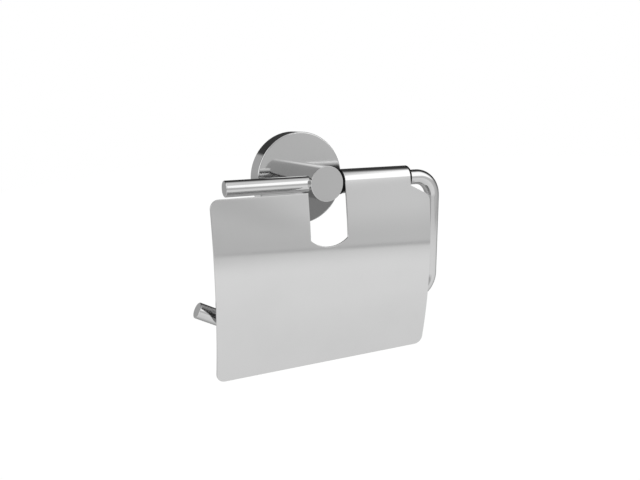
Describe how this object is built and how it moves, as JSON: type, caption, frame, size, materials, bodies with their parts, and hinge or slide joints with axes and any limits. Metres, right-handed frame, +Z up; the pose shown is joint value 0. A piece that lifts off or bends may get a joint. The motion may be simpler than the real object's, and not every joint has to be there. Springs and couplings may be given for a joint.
{
  "type": "toilet paper holder",
  "caption": "Wall-hung toilet paper holder: round rosette and post carry a bent rod for the roll, with a bowed sheet cover that hangs from the rod and lifts over the top.",
  "frame": {"origin": "centre of the rosette's back, on the wall plane", "axes": "+X along the rod towards its closed end, +Y into the wall, +Z up"},
  "size_m": [0.1591, 0.0529, 0.135],
  "materials": {
    "polished_chrome": "polished, chromium plated",
    "polished_sheet": "polished sheet, slightly softer reflections than the rod",
    "cast_bracket": "plain die-cast, matt",
    "screw_steel": "plain stainless",
    "black_plastic": "moulded, low sheen"
  },
  "bodies": {
    "holder": {"wall_bracket": "cast_bracket", "rosette": "polished_chrome", "rosette_grub_screw": "screw_steel", "post": "polished_chrome", "post_screw": "screw_steel", "post_lock_washer": "screw_steel", "post_dowel": "screw_steel", "rod_grub_screw": "screw_steel", "roll_arm": "polished_chrome"},
    "cover": {"cover": "polished_sheet", "left_pivot_bush": "black_plastic", "right_pivot_bush": "black_plastic"}
  },
  "joints": [
    {"name": "cover_hinge", "type": "hinge", "parent": "holder", "child": "cover", "pos_m": [0, -0.0415, 0], "axis": [-1, 0, 0], "range_deg": [-3, 200]}
  ]
}
